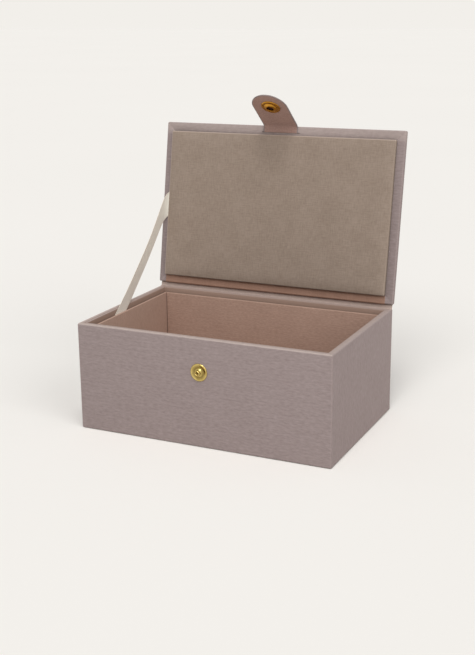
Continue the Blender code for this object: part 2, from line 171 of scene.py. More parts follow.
def startGroup(name, inputs, outputs):
    # a group that reads a place and some numbers, and gives numbers
    tree = groups[name] = bpy.data.node_groups.new(name, "ShaderNodeTree")
    tree.interface.new_socket("Vector", in_out="INPUT", socket_type="NodeSocketVector")
    for socketName, value in inputs.items():
        socket = tree.interface.new_socket(socketName, in_out="INPUT", socket_type="NodeSocketFloat")
        socket.default_value = value
    for socketName in outputs:
        tree.interface.new_socket(socketName, in_out="OUTPUT", socket_type="NodeSocketFloat")
    start, end = tree.nodes.new("NodeGroupInput"), tree.nodes.new("NodeGroupOutput")
    return tree, start.outputs, end.inputs


def mathNode(tree, operation, first, second=None):
    made = tree.nodes.new("ShaderNodeMath")
    made.operation = operation
    for slotNumber, value in enumerate((first, second)):
        if isinstance(value, (int, float)):
            made.inputs[slotNumber].default_value = value
        elif value is not None:
            tree.links.new(value, made.inputs[slotNumber])
    return made.outputs[0]


def times(tree, first, second):
    return mathNode(tree, "MULTIPLY", first, second)


def plus(tree, first, *others):
    for other in others:
        first = mathNode(tree, "ADD", first, other)
    return first


def swing(tree, pattern, amount):
    # how far a pattern from 0 to 1 is off its middle, times an amount
    return times(tree, mathNode(tree, "SUBTRACT", pattern, 0.5), amount)


def splitNode(tree, vector):
    made = tree.nodes.new("ShaderNodeSeparateXYZ")
    tree.links.new(vector, made.inputs[0])
    return made.outputs


def stretched(tree, vector, across, along):
    # the pattern's frequency across and along the cloth
    made = tree.nodes.new("ShaderNodeCombineXYZ")
    parts = splitNode(tree, vector)
    for axis, frequency in enumerate((along, across, across)):
        tree.links.new(times(tree, parts[axis], frequency), made.inputs[axis])
    return made.outputs[0]


def noiseNode(tree, vector, scale, detail=2.0, roughness=0.5):
    made = tree.nodes.new("ShaderNodeTexNoise")
    setInputs(made, {"Scale": scale, "Detail": detail, "Roughness": roughness})
    tree.links.new(vector, made.inputs["Vector"])
    return made.outputs["Fac"]


def setInputs(node, values):
    for socketName, value in values.items():
        node.inputs[socketName].default_value = value


def makeNapGroup():
    # short pile: fine speckle, long brushed streaks and slow clouds
    tree, start, end = startGroup("napPile", {"Along": 620.0, "Across": 1500.0, "Cloud": 0.5},
                                  ["Shade", "Height"])
    pile = stretched(tree, start["Vector"], start["Across"], start["Along"])
    speckle = noiseNode(tree, pile, 1.0, 3.0, 0.62)
    streak = noiseNode(tree, stretched(tree, pile, 0.8, 0.16), 1.0)
    cloud = noiseNode(tree, start["Vector"], 45.0)
    paintedLift = swing(tree, streak, 0.55)
    shade = plus(tree, swing(tree, speckle, 1.5), paintedLift, swing(tree, cloud, start["Cloud"]), 0.5)
    tree.links.new(shade, end["Shade"])
    tree.links.new(plus(tree, speckle, paintedLift), end["Height"])


def makeWeaveGroup():
    # plain weave of fine threads with slubs both ways
    tree, start, end = startGroup("fineWeave", {"Threads": 2400.0, "Slub": 1.0}, ["Shade", "Height"])
    vector = start["Vector"]
    waves = [mathNode(tree, "SINE", times(tree, times(tree, part, start["Threads"]), math.pi))
             for part in splitNode(tree, vector)[:2]]
    lattice = plus(tree, times(tree, times(tree, *waves), 0.5), 0.5)
    slubs = [noiseNode(tree, stretched(tree, vector, across, along), 1.0, 3.0, 0.6)
             for across, along in ((1300.0, 190.0), (190.0, 1300.0))]
    uneven = times(tree, plus(tree, *slubs, -1.0), start["Slub"])
    slow = swing(tree, noiseNode(tree, vector, 60.0), 0.5)
    tree.links.new(plus(tree, uneven, slow, swing(tree, lattice, 0.35), 0.5), end["Shade"])
    tree.links.new(plus(tree, lattice, uneven), end["Height"])


def makeEdgeShadingAndWearGroup():
    # painted highlight and painted shade at the edges, with rubbed nap: the edge attribute broken up by a
    # slow noise
    tree, start, end = startGroup("edgeShadingAndWearMask", {"Edge": 0.0, "Amount": 0.6}, ["Mask"])
    broken = noiseNode(tree, start["Vector"], 260.0, 3.0, 0.6)
    kept = plus(tree, times(tree, broken, 0.9), 0.45)
    shown = times(tree, times(tree, start["Edge"], kept), start["Amount"])
    tree.links.new(mathNode(tree, "MINIMUM", shown, 1.0), end["Mask"])


def makePatinaGroup():
    # handled metal: faint smudges and very fine scratches
    tree, start, end = startGroup("metalPatina", {"Roughness": 0.25}, ["Shade", "Roughness", "Height"])
    smudge = noiseNode(tree, start["Vector"], 420.0, 3.0, 0.55)
    scratch = noiseNode(tree, start["Vector"], 5200.0, 2.0, 0.6)
    tree.links.new(smudge, end["Shade"])
    tree.links.new(plus(tree, swing(tree, smudge, 0.28), start["Roughness"]), end["Roughness"])
    tree.links.new(scratch, end["Height"])


def makeFibreGroup():
    # pressed card: short fibres and flecks
    tree, start, end = startGroup("pressedFibre", {"Scale": 700.0}, ["Shade", "Height"])
    even = stretched(tree, start["Vector"], start["Scale"], start["Scale"])
    fibre = noiseNode(tree, even, 1.0, 5.0, 0.7)
    fleck = noiseNode(tree, even, 0.35)
    tree.links.new(times(tree, plus(tree, fibre, fleck), 0.5), end["Shade"])
    tree.links.new(fibre, end["Height"])


# Materials

finishes = {}


def startMaterial(name, values, metallic=0.0):
    made = finishes[name] = bpy.data.materials.new(name)
    made.use_nodes = True
    shader = made.node_tree.nodes["Principled BSDF"]
    setInputs(shader, {"Roughness": values["roughness"], "Metallic": metallic})
    return made.node_tree, shader


def placeGroup(tree, vector, name, values):
    made = tree.nodes.new("ShaderNodeGroup")
    made.node_tree = groups[name]
    setInputs(made, values)
    tree.links.new(vector, made.inputs["Vector"])
    return made


def blendTones(tree, share, low, high):
    ramp = tree.nodes.new("ShaderNodeValToRGB")
    for number, (position, colour) in enumerate(((0.15, low), (0.85, high))):
        ramp.color_ramp.elements[number].position = position
        ramp.color_ramp.elements[number].color = tint(colour)
    tree.links.new(share, ramp.inputs[0])
    return ramp.outputs[0]


def attributeNode(tree, name):
    made = tree.nodes.new("ShaderNodeAttribute")
    made.attribute_name = name
    return made.outputs["Fac"]


def mixTone(tree, share, first, second):
    made = tree.nodes.new("ShaderNodeMix")
    made.data_type = "RGBA"
    tree.links.new(share, made.inputs["Factor"])
    tree.links.new(first, made.inputs[6])
    made.inputs[7].default_value = tint(second)
    return made.outputs[2]


def setSurface(tree, shader, tone, height, bump):
    # bump is its depth in metres and its strength
    made = tree.nodes.new("ShaderNodeBump")
    setInputs(made, {"Distance": bump[0], "Strength": bump[1]})
    tree.links.new(height, made.inputs["Height"])
    tree.links.new(made.outputs[0], shader.inputs["Normal"])
    tree.links.new(tone, shader.inputs["Base Color"])


def clothPlace(tree):
    place = tree.nodes.new("ShaderNodeUVMap")
    place.uv_map = "cloth"
    return place.outputs[0]


def objectPlace(tree):
    return tree.nodes.new("ShaderNodeTexCoord").outputs["Object"]


def makeClothFinish(name, values):
    values = {**clothCommon, **values}
    tree, shader = startMaterial(name, values)
    where = clothPlace(tree)
    pattern = placeGroup(tree, where, *values["pattern"])
    tone = blendTones(tree, pattern.outputs["Shade"], values["dark"], values["light"])
    # rounded edges get a painted highlight, or a painted shade on the strap, mixed with rubbed nap
    if "edgeShadingAndWear" in values:
        paintedShadingAndWear = placeGroup(tree, where, "edgeShadingAndWearMask", {"Amount": values["edgeShadingAndWearAmount"]})
        tree.links.new(attributeNode(tree, "edgeShadingAndWearShare"), paintedShadingAndWear.inputs["Edge"])
        tone = mixTone(tree, paintedShadingAndWear.outputs["Mask"], tone, values["edgeShadingAndWear"])
    # the inside gets a warmer painted tone for its shade and bounce light
    if "inner" in values:
        tone = mixTone(tree, attributeNode(tree, "innerShadeTone"), tone, values["inner"])
    setSurface(tree, shader, tone, pattern.outputs["Height"], values["bump"])
    setInputs(shader, {"Specular IOR Level": values["specular"], "Sheen Weight": values["sheen"],
                       "Sheen Roughness": values["sheenRoughness"],
                       "Sheen Tint": tint(values["sheenTint"])})


clothCommon = {"roughness": 0.92, "specular": 0.2, "sheenRoughness": 0.45}

clothValues = {
    "velvetPile": {
        "pattern": ("napPile", {"Along": 290.0, "Across": 860.0, "Cloud": 0.18}),
        # the inner colour is a warmer painted shade tone for the inside, and the lightest colour a painted
        # edge highlight over rubbed nap
        "dark": (137, 123, 121), "light": (155, 141, 139), "inner": (160, 135, 121),
        "edgeShadingAndWear": (216, 199, 189), "edgeShadingAndWearAmount": 0.9, "bump": (0.00014, 0.45),
        "sheen": 0.18, "sheenRoughness": 0.4, "sheenTint": (225, 205, 200)},
    "liningSuede": {
        "pattern": ("napPile", {"Along": 420.0, "Across": 1300.0, "Cloud": 0.4}),
        "dark": (156, 127, 112), "light": (179, 149, 133),
        # the lightest colour is a painted highlight on the rounded edges, with wear
        "edgeShadingAndWear": (196, 169, 154), "edgeShadingAndWearAmount": 0.5, "bump": (0.00010, 0.30),
        "sheen": 0.15, "sheenRoughness": 0.4, "sheenTint": (220, 195, 180)},
    "strapSuede": {
        "pattern": ("napPile", {"Along": 900.0, "Across": 900.0, "Cloud": 0.4}),
        "dark": (152, 122, 112), "light": (178, 147, 136), "bump": (0.00010, 0.35),
        "sheen": 0.15, "sheenTint": (215, 190, 180)},
    "padWeave": {
        "pattern": ("fineWeave", {"Threads": 2400.0, "Slub": 0.9}), "roughness": 0.9,
        "dark": (134, 118, 105), "light": (157, 141, 128),
        # the lightest colour is a painted highlight on the lit edges
        "edgeShadingAndWear": (180, 162, 150), "edgeShadingAndWearAmount": 0.8, "bump": (0.00010, 0.30),
        "sheen": 0.12, "sheenRoughness": 0.5, "sheenTint": (220, 205, 190)},
    "hingeWeave": {
        "pattern": ("fineWeave", {"Threads": 2600.0, "Slub": 0.7}), "roughness": 0.9,
        "dark": (149, 116, 100), "light": (171, 137, 119), "bump": (0.00008, 0.3),
        "sheen": 0.08, "sheenTint": (200, 180, 165)},
    "underWeave": {
        "pattern": ("fineWeave", {"Threads": 1400.0, "Slub": 1.2}),
        "dark": (108, 92, 88), "light": (130, 114, 109), "bump": (0.00010, 0.4),
        "sheen": 0.08, "sheenTint": (205, 190, 182)},
}
# the strap's rounded edges get a darker painted shade instead of a light edge tone
clothValues["strapVelvet"] = dict(clothValues["velvetPile"], edgeShadingAndWear=(116, 101, 91), edgeShadingAndWearAmount=1.0)

ribbonValues = {
    "dark": (236, 229, 215), "light": (252, 249, 240), "roughness": 0.42, "ribs": 1900.0,
    "selvedge": (226, 216, 199), "selvedgeWide": 0.0006, "selvedgeShows": 0.7,
    "bump": (0.00005, 0.25), "anisotropic": 0.4, "sheen": 0.15,
}

# dark is painted shade and painted dark reflection in the hollows, with some patina
metalValues = {
    "studBrass": {"low": (176, 150, 80), "high": (226, 204, 132), "dark": (84, 62, 24),
                  "roughness": 0.22},
    "socketBrass": {"low": (178, 122, 42), "high": (216, 160, 66), "dark": (118, 52, 18),
                    "roughness": 0.30},
    "brushedSteel": {"low": (132, 128, 122), "high": (168, 164, 158), "dark": (84, 44, 22),
                     "roughness": 0.36},
}
metalBump = (0.00001, 0.2)

fibreValues = {
    "pressedCard": {"dark": (128, 118, 106), "light": (166, 156, 142), "scale": 900.0,
                    "roughness": 0.92},
    "padFoam": {"dark": (212, 202, 176), "light": (234, 226, 204), "scale": 2200.0,
                "roughness": 0.95},
}
fibreBump = (0.00015, 0.4)


def makeRibbonFinish(name, values):
    tree, shader = startMaterial(name, values)
    where = clothPlace(tree)
    across, along = splitNode(tree, where)[:2]
    ribs = mathNode(tree, "SINE", times(tree, along, values["ribs"] * 2 * math.pi))
    warp = noiseNode(tree, stretched(tree, where, 160.0, 5200.0), 1.0, 3.0, 0.6)
    slow = noiseNode(tree, where, 70.0)
    shade = plus(tree, times(tree, warp, 0.6), times(tree, slow, 0.4))
    tone = blendTones(tree, shade, values["dark"], values["light"])
    border = mathNode(tree, "GREATER_THAN", mathNode(tree, "ABSOLUTE", across),
                      ribbonRoute["width"] / 2 - values["selvedgeWide"])
    tone = mixTone(tree, times(tree, border, values["selvedgeShows"]), tone, values["selvedge"])
    setSurface(tree, shader, tone, plus(tree, times(tree, ribs, 0.5), warp), values["bump"])
    setInputs(shader, {"Anisotropic": values["anisotropic"], "Sheen Weight": values["sheen"]})


def makeMetalFinish(name, values):
    tree, shader = startMaterial(name, values, 1.0)
    patina = placeGroup(tree, objectPlace(tree), "metalPatina", {"Roughness": values["roughness"]})
    tone = blendTones(tree, patina.outputs["Shade"], values["low"], values["high"])
    # hollows get painted shade and painted dark reflection, with patina
    tone = mixTone(tree, attributeNode(tree, "hollowShadeAndPatina"), tone, values["dark"])
    tree.links.new(patina.outputs["Roughness"], shader.inputs["Roughness"])
    setSurface(tree, shader, tone, patina.outputs["Height"], metalBump)


def makeFibreFinish(name, values):
    tree, shader = startMaterial(name, values)
    fibre = placeGroup(tree, objectPlace(tree), "pressedFibre", {"Scale": values["scale"]})
    tone = blendTones(tree, fibre.outputs["Shade"], values["dark"], values["light"])
    setSurface(tree, shader, tone, fibre.outputs["Height"], fibreBump)
    shader.inputs["Specular IOR Level"].default_value = 0.2


# Sizes taken from the frame

boxValues = {
    "halfWidth": 0.0900, "halfDepth": 0.0585, "top": 0.0735, "bottom": 0.0003,
    "wall": 0.0046, "turnIn": 0.0150, "turnUnder": 0.0060,
    "cloth": 0.0005, "round": 0.0009,
    "mitre": 0.00035, "mitreDepth": 0.00022,
    # painted highlight over rubbed nap at the rim's outer edge and inward, a warmer painted shade tone at
    # the inner edge, how soon inward
    "rim": {"front": (0.25, 1.0, 0.0, 0.2), "back": (0.3, 0.05, 0.9, 0.3),
            "left": (1.0, 0.15, 0.5, 0.8), "right": (0.06, 0.42, 0.35, 0.2)},
    "rimRound": 0.9,  # share of the rounding that counts as rim
    "wallShadingAndWear": 0.03,
    "innerFrom": 0.0100,  # above the bottom, where the inside's warmer painted shade tone starts
}

lidValues = {
    "halfWidth": 0.0909, "length": 0.1175, "thickness": 0.0041,
    "openAngle": 99.8, "hinge": (0.0, 0.0582, 0.0769), "closedEdge": (0.0, 0.0585, 0.0741),
    "turnIn": 0.0150, "cloth": 0.0005, "round": 0.0010,
    "mitre": 0.00035, "mitreDepth": 0.00020,
    # the strap's slit and the bed that it lies in, from the middle and from the hinge
    "bed": (-0.0137, 0.0125), "slit": (-0.0146, 0.0141, 0.1127, 0.1133), "slitRun": 0.0040,
    "slotDepth": 0.00085,
    # painted highlight with rubbed nap: its share along the free edge, which faces up to the light, and on
    # the other edges
    "edgeShadingAndWear": 0.27, "edgeShadingAndWearShare": 0.05,
}


def lidMatrix():
    # lid place: x across, y up from the lower inner edge, z out of the inner face
    values = lidValues
    hinge = Vector(values["hinge"])
    turn = Matrix.Rotation(-math.radians(values["openAngle"]), 4, "X")
    edge = hinge + turn @ (Vector(values["closedEdge"]) - hinge)
    flip = Matrix.Rotation(math.pi, 4, "X")  # shut, the inner face looks down and up the lid is forward
    return Matrix.Translation(edge) @ turn @ flip


lidPlace = lidMatrix()


# Mesh helpers

tiny = 1e-6  # metres, and less than any step in the meshes


def near(first, second):
    return abs(first - second) < tiny


def clamp(value):
    return min(max(value, 0.0), 1.0)


def makePiece(name, bm, finish, body=None, nodes=(), place=None, sharp=50):
    if place is not None:
        bmesh.ops.transform(bm, matrix=place, verts=bm.verts)
    mesh = bpy.data.meshes.new(name)
    bm.to_mesh(mesh)
    bm.free()
    mesh.materials.append(finishes[finish])
    mesh.shade_smooth()
    if sharp is not None:
        mesh.set_sharp_from_angle(angle=math.radians(sharp))
    made = addObject(name, mesh)
    if body is not None:
        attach(made, body)
        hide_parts(*nodes)
    return made


def addCloth(made, thickness):
    # the skin gets its cloth thickness, inwards
    shell = made.modifiers.new("cloth", "SOLIDIFY")
    shell.thickness = thickness
    shell.offset = -1
    shell.use_even_offset = True


def faceOut(bm):
    bmesh.ops.recalc_face_normals(bm, faces=bm.faces)


def pickVerts(items):
    return [item for item in items if isinstance(item, bmesh.types.BMVert)]


def growEdges(bm, edges):
    # the next row of a strip: its edges and its vertices, still on the last row
    grown = bmesh.ops.extrude_edge_only(bm, edges=edges)["geom"]
    edges = [item for item in grown if isinstance(item, bmesh.types.BMEdge)
             and all(vert in grown for vert in item.verts)]
    return edges, pickVerts(grown)


def layCloth(bm):
    # cloth coordinates in metres: the nap runs across the front and down the sides
    layer = bm.loops.layers.uv.new("cloth")
    bm.normal_update()
    for face in bm.faces:
        across, deep, tall = (abs(part) for part in face.normal)
        for loop in face.loops:
            co = loop.vert.co
            if deep >= across and deep >= tall:
                loop[layer].uv = (co.x, co.z)
            elif across >= tall:
                loop[layer].uv = (co.z, co.y)
            else:
                loop[layer].uv = (co.x, co.y)


def softEdges(bm, edges, offset, segments=4):
    # rounds the edges and marks the round itself for the mask of painted edge highlight and wear
    made = bmesh.ops.bevel(bm, geom=edges, offset=offset, offset_type="OFFSET", affect="EDGES",
                           segments=segments, profile=0.5, material=-1, clamp_overlap=True)
    rounds = set(made["faces"])
    layer = bm.verts.layers.float.get("edgeShadingAndWearShare") or bm.verts.layers.float.new("edgeShadingAndWearShare")
    for vert in {vert for face in rounds for vert in face.verts}:
        inside = all(face in rounds for face in vert.link_faces)
        vert[layer] = 1.0 if inside else 0.0


def boxMesh(low, high):
    low, high = Vector(low), Vector(high)
    bm = bmesh.new()
    bmesh.ops.create_cube(bm, size=1.0)
    bmesh.ops.scale(bm, vec=high - low, verts=bm.verts)
    bmesh.ops.translate(bm, vec=(low + high) / 2, verts=bm.verts)
    return bm


def cutAcross(bm, axis, places):
    normal = Vector((0, 0, 0))
    normal[axis] = 1.0
    for place in places:
        bmesh.ops.bisect_plane(bm, geom=bm.verts[:] + bm.edges[:] + bm.faces[:], dist=1e-7,
                               plane_co=normal * place, plane_no=normal)


def spread(low, high, count):
    return [low + (high - low) * (step + 1) / (count + 1) for step in range(count)]


mitreLeast = 0.0015  # slanting edges shorter than this belong to the roundings


def sinkMitres(bm, values, level, corner, middle=0.0, side=1):
    # the folded corners of the turned cloth show as a fine slanting groove
    lines = []
    for edge in bm.edges:
        first, second = (vert.co for vert in edge.verts)
        run = second - first
        if (near(first.z, level) and near(second.z, level) and run.length > mitreLeast
                and abs(abs(run.x) - abs(run.y)) < 1e-5):
            lines.append(edge)
    made = bmesh.ops.bevel(bm, geom=lines, offset=values["mitre"], offset_type="OFFSET",
                           affect="EDGES", segments=2, profile=0.5, material=-1)
    for vert in {vert for face in made["faces"] for vert in face.verts}:
        away = (abs(vert.co.x) - corner[0]) - (abs(vert.co.y - middle) - corner[1])
        if abs(away) < 2e-5:
            vert.co.z -= values["mitreDepth"] * side


def fanMesh(outline, steps=64):
    # spins a (radius, height, hollow shade) outline about z; the third value is painted shade and patina
    bm = bmesh.new()
    layer = bm.verts.layers.float.new("hollowShadeAndPatina")
    verts = [bm.verts.new((point[0], 0, point[1])) for point in outline]
    for vert, point in zip(verts, outline):
        vert[layer] = point[2] if len(point) > 2 else 0.0
    edges = [bm.edges.new(pair) for pair in zip(verts, verts[1:])]
    if outline[0][0] > 0:
        edges.append(bm.edges.new((verts[-1], verts[0])))
    bmesh.ops.spin(bm, geom=verts + edges, cent=(0, 0, 0), axis=(0, 0, 1), angle=2 * math.pi,
                   steps=steps, use_merge=True)
    bmesh.ops.remove_doubles(bm, verts=bm.verts, dist=1e-7)
    faceOut(bm)
    return bm


def rounded(outline, share=0.35):
    # softens the corners of an outline, keeping its ends
    outline = [tuple(point) + (0.0,) * (3 - len(point)) for point in outline]
    soft = [outline[0]]
    for before, corner, after in zip(outline, outline[1:], outline[2:]):
        for beside in (before, after):
            soft.append(tuple(b + (c - b) * (1 - share) for b, c in zip(beside, corner)))
    soft.append(outline[-1])
    return soft


def scaled(rows, width, tall, base):
    # rows of shares, and the painted hollow shade value kept, as an outline in metres above a base
    return [(row[0] * width, base + row[1] * tall, *row[2:]) for row in rows]


# Box wrap

def makeBaseWrap():
    values = boxValues
    x, y = values["halfWidth"], values["halfDepth"]
    low, high = values["bottom"], values["top"]
    bm = boxMesh((-x, -y, low), (x, y, high))
    roof = max(bm.faces, key=lambda face: face.calc_center_median().z)
    foot = min(bm.faces, key=lambda face: face.calc_center_median().z)
    bmesh.ops.inset_region(bm, faces=[roof], thickness=values["wall"], use_even_offset=True)
    inner = bmesh.ops.extrude_discrete_faces(bm, faces=[roof])["faces"][0]
    bmesh.ops.translate(bm, vec=(0, 0, -values["turnIn"]), verts=inner.verts)
    bmesh.ops.delete(bm, geom=[inner], context="FACES_ONLY")
    bmesh.ops.inset_region(bm, faces=[foot], thickness=values["turnUnder"], use_even_offset=True)
    bmesh.ops.delete(bm, geom=[foot], context="FACES_ONLY")
    edges = []
    for edge in bm.edges:
        first, second = (vert.co for vert in edge.verts)
        outer = all(near(abs(co.x), x) and near(abs(co.y), y) for co in (first, second))
        rim = near(first.z, high) and near(second.z, high)
        if outer or (rim and (near(first.x, second.x) or near(first.y, second.y))):
            edges.append(edge)
    softEdges(bm, edges, values["round"])
    inward = bm.verts.layers.float.new("innerShadeTone")
    paintedShadingAndWear = bm.verts.layers.float["edgeShadingAndWearShare"]
    for vert in bm.verts:
        fromSide, fromEnd = x - abs(vert.co.x), y - abs(vert.co.y)
        if fromEnd < fromSide:
            side = "front" if vert.co.y < 0 else "back"
        else:
            side = "left" if vert.co.x < 0 else "right"
        share = clamp(min(fromSide, fromEnd) / values["wall"])
        outer, inside, innerShade, reach = values["rim"][side]
        # the rim gets a painted highlight over rubbed nap, set per side by how the light falls, and a warmer
        # painted shade tone inward; the walls keep only a little of the painted edge highlight
        if vert.co.z > high - values["round"] * values["rimRound"]:
            vert[paintedShadingAndWear] = outer + (inside - outer) * min(share / reach, 1.0)
            vert[inward] = innerShade * share
        else:
            vert[paintedShadingAndWear] *= values["wallShadingAndWear"]
            vert[inward] = share if vert.co.z > low + values["innerFrom"] else 0.0
    sinkMitres(bm, values, high, (x, y))
    sinkMitres(bm, values, low, (x, y), side=-1)
    layCloth(bm)
    made = makePiece("baseWrap", bm, "velvetPile", "base", ["base_wrap"])
    addCloth(made, values["cloth"])


# Lined panels

panelValues = {
    "liningEdgeShading": 0.3,
    # CAD node, finish, slot, rounding, and how much painted light lifts the panel's whole face
    "panels": {
        "liningFront": ("liner_front", "liningSuede", "lining_suede", 0.00055, 0.0),
        "liningBack": ("liner_back", "liningSuede", "lining_suede", 0.00055, 0.0),
        "liningLeft": ("liner_left", "liningSuede", "lining_suede", 0.00055, 0.7),
        "liningRight": ("liner_right", "liningSuede", "lining_suede", 0.00055, 0.0),
        "liningFloor": ("floor_panel", "liningSuede", "lining_suede", 0.00050, 0.0),
        "footCover": ("bottom_cover", "underWeave", "underside_cover", 0.00035, 0.0),
    },
}


def makePanels():
    for name, (node, finish, slot, soft, paintedLift) in panelValues["panels"].items():
        bm = boxMesh(*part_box(node))
        softEdges(bm, bm.edges[:], soft, 3)
        paintedShadingAndWear = bm.verts.layers.float["edgeShadingAndWearShare"]
        for vert in bm.verts:
            # edges keep a share of the painted highlight and wear, and a panel facing the light is painted
            # lighter all over
            vert[paintedShadingAndWear] = max(vert[paintedShadingAndWear] * panelValues["liningEdgeShading"], paintedLift)
        layCloth(bm)
        makePiece(name, bm, finish, "base", [node])


# Lid wrap

def makeLidWrap():
    values = lidValues
    x, top, thick = values["halfWidth"], values["length"], values["thickness"]
    bm = boxMesh((-x, 0, -thick), (x, top, 0))
    face = max(bm.faces, key=lambda face: face.calc_center_median().z)
    bmesh.ops.inset_region(bm, faces=[face], thickness=values["turnIn"], use_even_offset=True)
    bmesh.ops.delete(bm, geom=[face], context="FACES_ONLY")
    edges = [edge for edge in bm.edges
             if all(near(abs(vert.co.x), x) and (near(vert.co.y, 0) or near(vert.co.y, top))
                    for vert in edge.verts)]
    softEdges(bm, edges, values["round"])
    sinkMitres(bm, values, 0.0, (x, top / 2), middle=top / 2)
    cutStrapSlot(bm)
    paintedShadingAndWear = bm.verts.layers.float["edgeShadingAndWearShare"]
    for vert in bm.verts:
        # the band along the free edge gets a painted highlight, with rubbed nap; other edges keep little
        free = vert.co.y > values["slit"][2] - tiny
        vert[paintedShadingAndWear] = values["edgeShadingAndWear"] if free else vert[paintedShadingAndWear] * values["edgeShadingAndWearShare"]
    layCloth(bm)
    made = makePiece("lidWrap", bm, "velvetPile", "lid", ["lid_wrap"], lidPlace)
    addCloth(made, values["cloth"])


def cutStrapSlot(bm):
    # a slit for the strap's root, and a shallow bed from it to the free edge
    values = lidValues
    bedLeft, bedRight = values["bed"]
    left, right, low, high = values["slit"]
    cutAcross(bm, 0, (bedLeft, bedRight, left, right))
    cutAcross(bm, 1, (low - values["slitRun"], low, high))
    bed = []
    for face in bm.faces:
        middle = face.calc_center_median()
        if middle.z < -values["round"] * 1.02 or face.normal.z < -0.5:
            continue  # below the rounding, or on the outside
        slit = left < middle.x < right and low < middle.y < high and middle.z > -1e-5
        if slit or (bedLeft < middle.x < bedRight and middle.y > high):
            bed.append(face)
    lowered = bmesh.ops.extrude_face_region(bm, geom=bed)["geom"]
    bmesh.ops.delete(bm, geom=bed, context="FACES")
    bmesh.ops.translate(bm, vec=(0, -values["slotDepth"] * 0.5, -values["slotDepth"]),
                        verts=pickVerts(lowered))
    faceOut(bm)


# Padded panel in the lid

padValues = {
    "halfWidth": 0.0851, "low": 0.0056, "high": 0.1111,
    "back": 0.0003, "face": 0.0032, "crown": 0.0008, "shoulder": 0.0050, "round": 0.0008,
    "ripple": 0.00010, "ripples": 38,  # how high, and how many to a metre
    "cutInset": 0.0012, "cutsAcross": 45, "cutsUp": 29,
    # share of the painted highlight kept on the shaded edges
    "shadedEdgeHighlight": 0.1,  # at the low and the right edge
}


def makeLidPad():
    values = padValues
    x, low, high = values["halfWidth"], values["low"], values["high"]
    bm = boxMesh((-x, low, values["back"]), (x, high, values["face"]))
    edges = [edge for edge in bm.edges if any(vert.co.z > values["back"] + tiny for vert in edge.verts)]
    softEdges(bm, edges, values["round"])
    inner = values["cutInset"]
    for axis, start, end, count in ((0, -x + inner, x - inner, values["cutsAcross"]),
                                    (1, low + inner, high - inner, values["cutsUp"])):
        cutAcross(bm, axis, [start, end] + spread(start, end, count))
    middle = (low + high) / 2
    band = values["round"] * 1.1
    paintedShadingAndWear = bm.verts.layers.float["edgeShadingAndWearShare"]
    for vert in bm.verts:
        # the top and left edges, which face the light, keep their painted highlight; the shaded edges keep
        # little
        lit = vert.co.y > high - band or vert.co.x < -x + band
        vert[paintedShadingAndWear] *= 1.0 if lit else values["shadedEdgeHighlight"]
        if vert.co.z < values["face"] - 1e-5:
            continue
        inset = min(x - abs(vert.co.x), (high - low) / 2 - abs(vert.co.y - middle)) - values["round"]
        share = clamp(inset / values["shoulder"])
        wave = noise.noise(Vector((vert.co.x * values["ripples"], vert.co.y * values["ripples"], 3.1)))
        vert.co.z += values["crown"] * (1 - (1 - share) ** 2) + values["ripple"] * wave * share
    layCloth(bm)
    made = makePiece("lidPad", bm, "padWeave", "lid", ["pad_cover"], lidPlace, None)


# Cloth strips at the hinge

hingeValues = {
    "liningHalf": 0.0851, "liningThick": 0.00025, "liningStart": 0.0053, "liningTurn": 0.0024,
    "liningGap": 0.00003, "lidRound": 0.0008, "bendSteps": 8, "liningCuts": 11,
    "clothHalf": 0.0899, "clothThick": 0.00028, "clothCuts": 15,
    "endCuts": (0.0002, 0.0004, 0.0007, 0.0011),  # in from both ends
    "followFrom": 0.0003, "followReach": 0.0009,  # above the rim, how far the ends follow its corner
    # the cloth's seen side gets a share of the warmer painted shade tone and a painted highlight that lifts
    # it in the shade under the lid
    "innerShadeTone": 0.35, "paintedShadingAndWear": 0.8,
    # where the cloth starts and ends its turn, from the box's back face and the rim
    "turnStart": (-0.0019, -0.0001), "turnEnd": (-0.0003, 0.0024),
    # from the rim to under the lid: back from the box's back face, and above the rim
    "clothPath": [
        (-0.00310, 0.00016), (-0.00210, 0.00017), (-0.00150, 0.00030), (-0.00115, 0.00075),
        (-0.00100, 0.00140), (-0.00093, 0.00205), (-0.00068, 0.00252), (-0.00018, 0.00276),
        (0.00045, 0.00276),
    ],
}


def stripMesh(path, halfWidth, cuts):
    # an edge across the box, drawn along a (y, z) path
    bm = bmesh.new()
    first = [bm.verts.new((side * halfWidth, *path[0])) for side in (-1, 1)]
    edges = [bm.edges.new(first)]
    for before, after in zip(path, path[1:]):
        edges, verts = growEdges(bm, edges)
        bmesh.ops.translate(bm, vec=(0, after[0] - before[0], after[1] - before[1]), verts=verts)
    cutAcross(bm, 0, spread(-halfWidth, halfWidth, cuts))
    layer = bm.loops.layers.uv.new("cloth")
    for face in bm.faces:
        for loop in face.loops:
            loop[layer].uv = (loop.vert.co.x, loop.vert.co.y + loop.vert.co.z)
    return bm


def thicken(bm, thickness):
    # gives a single sheet its cloth thickness, half to each side
    faceOut(bm)
    bm.normal_update()
    start = {vert: vert.normal.copy() for vert in bm.verts}
    for vert, normal in start.items():
        vert.co -= normal * thickness / 2
    bmesh.ops.solidify(bm, geom=bm.faces[:], thickness=-thickness)
    faceOut(bm)


def makeHingeLining():
    values = hingeValues
    corner, steps = values["lidRound"], values["bendSteps"]
    off = values["liningGap"] + values["liningThick"] / 2
    bend = corner + off
    path = [(values["liningStart"], off)]
    for step in range(steps + 1):
        angle = math.pi / 2 * step / steps
        path.append((corner - bend * math.sin(angle), -corner + bend * math.cos(angle)))
    path.append((-off, -values["liningTurn"]))
    bm = stripMesh(path, values["liningHalf"], values["liningCuts"])
    bmesh.ops.transform(bm, matrix=lidPlace, verts=bm.verts)
    thicken(bm, values["liningThick"])
    makePiece("hingeLining", bm, "hingeWeave", "lid", ["hinge_lining"])


